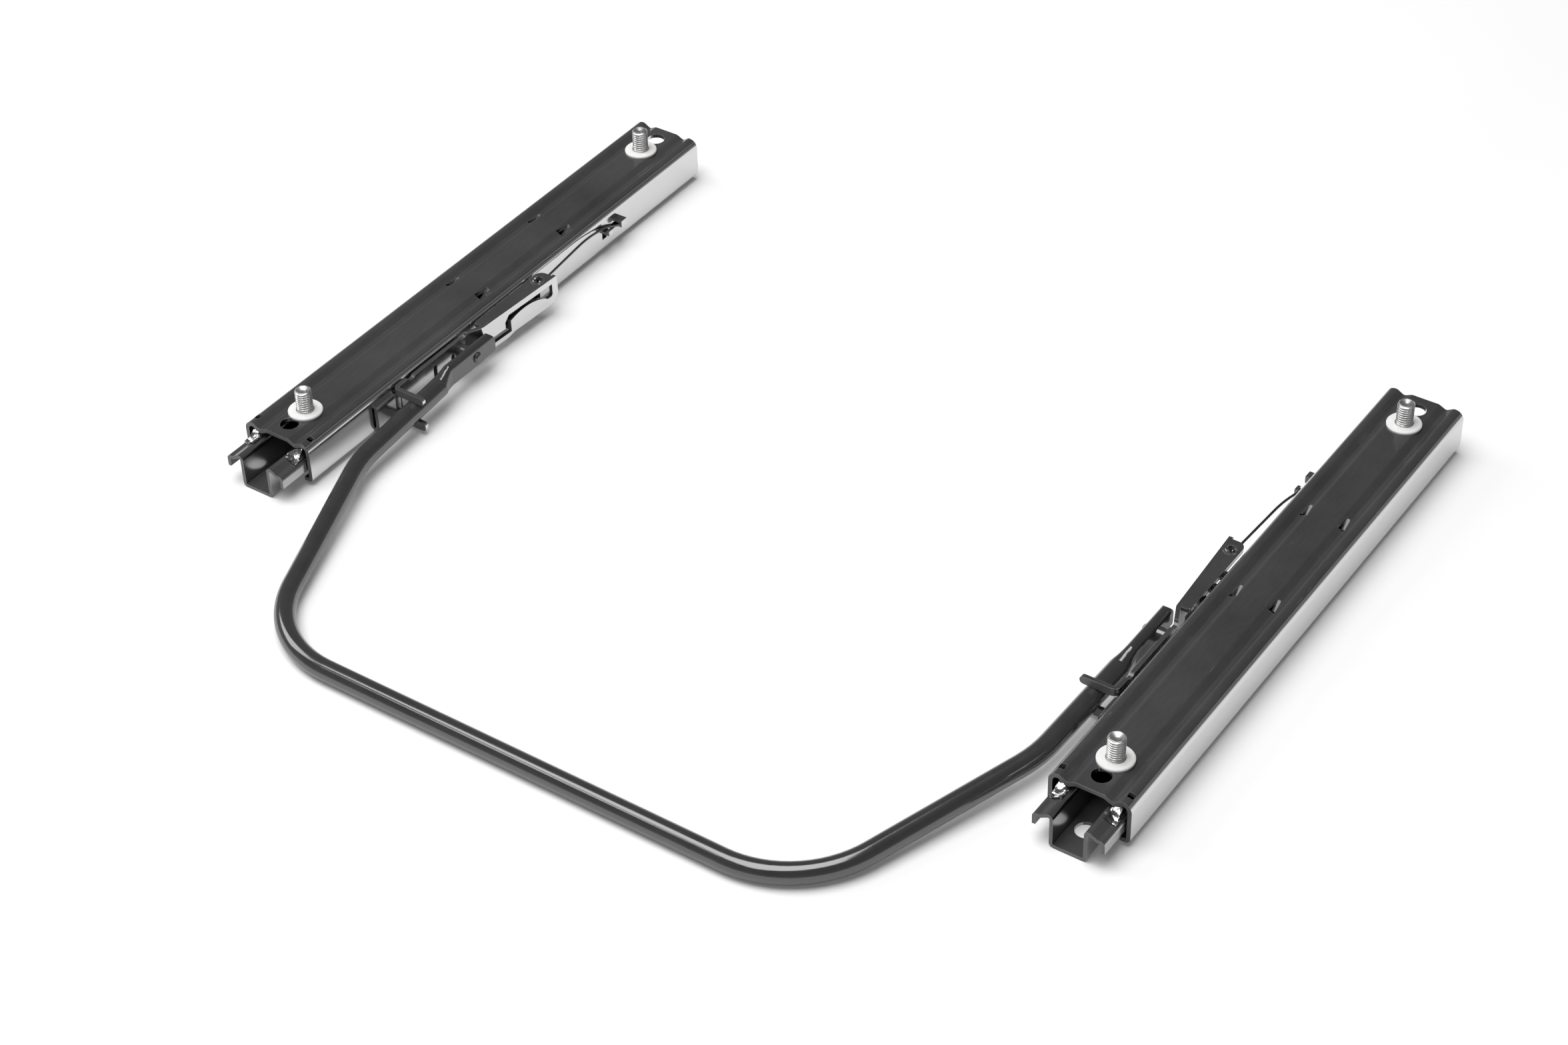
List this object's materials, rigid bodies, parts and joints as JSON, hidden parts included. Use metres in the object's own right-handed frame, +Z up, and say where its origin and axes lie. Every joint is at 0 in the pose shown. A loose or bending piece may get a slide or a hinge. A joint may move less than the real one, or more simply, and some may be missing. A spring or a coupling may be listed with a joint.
{
  "type": "seat slide rail set",
  "caption": "Pair of sliding seat rails with top studs, joined by a U-shaped release bar that rocks a latch plate on each rail.",
  "frame": {"origin": "middle of the four floor-bolt holes, on the underside of the two floor rails", "axes": "+X across the set to the right-hand rail, +Y backwards along the rails, +Z up to the seat studs"},
  "size_m": [0.4748, 0.4121, 0.036],
  "materials": {
    "black_steel": "gloss",
    "stud_steel": "zinc",
    "washer_plastic": "satin",
    "clip_steel": "bright",
    "ball_steel": "polished",
    "cage_steel": "plain",
    "black_wire": "satin"
  },
  "bodies": {
    "floor_rails": {"floor_rail_left": "black_steel", "floor_rail_right": "black_steel"},
    "seat_rails": {"seat_rail_left": "black_steel", "seat_studs_left": "stud_steel", "stud_washers_left": "washer_plastic", "mouth_clips_left": "clip_steel", "return_wire_left": "black_wire", "seat_rail_right": "black_steel", "seat_studs_right": "stud_steel", "stud_washers_right": "washer_plastic", "mouth_clips_right": "clip_steel", "return_wire_right": "black_wire"},
    "ball_cages": {"upper_balls_left": "ball_steel", "lower_balls_left": "ball_steel", "upper_cage_front_inner_left": "cage_steel", "upper_cage_front_outer_left": "cage_steel", "upper_cage_rear_inner_left": "cage_steel", "upper_cage_rear_outer_left": "cage_steel", "lower_cage_front_inner_left": "cage_steel", "lower_cage_front_outer_left": "cage_steel", "lower_cage_rear_inner_left": "cage_steel", "lower_cage_rear_outer_left": "cage_steel", "upper_balls_right": "ball_steel", "lower_balls_right": "ball_steel", "upper_cage_front_inner_right": "cage_steel", "upper_cage_front_outer_right": "cage_steel", "upper_cage_rear_inner_right": "cage_steel", "upper_cage_rear_outer_right": "cage_steel", "lower_cage_front_inner_right": "cage_steel", "lower_cage_front_outer_right": "cage_steel", "lower_cage_rear_inner_right": "cage_steel", "lower_cage_rear_outer_right": "cage_steel"},
    "release_latch": {"release_bar": "black_steel", "bar_rivet_left": "black_steel", "bar_rivet_right": "black_steel", "latch_plate_left": "black_steel", "latch_plate_right": "black_steel"}
  },
  "joints": [
    {"name": "seat_slide", "type": "slide", "parent": "floor_rails", "child": "seat_rails", "axis": [0, 1, 0], "range_m": [-0.07, 0.04]},
    {"name": "cage_roll", "type": "slide", "parent": "floor_rails", "child": "ball_cages", "axis": [0, 1, 0], "range_m": [-0.035, 0.02]},
    {"name": "bar_rock", "type": "hinge", "parent": "seat_rails", "child": "release_latch", "pos_m": [0, -0.08575, 0.0113], "axis": [-1, 0, 0], "range_deg": [-2.5, 1], "stiffness_Nm_per_rad": 1.5, "springref_deg": -6.88, "deforming": ["return_wire_left", "return_wire_right"]}
  ],
  "couplings": [
    {"joint": "cage_roll", "follows": "seat_slide", "ratio": 0.5}
  ]
}
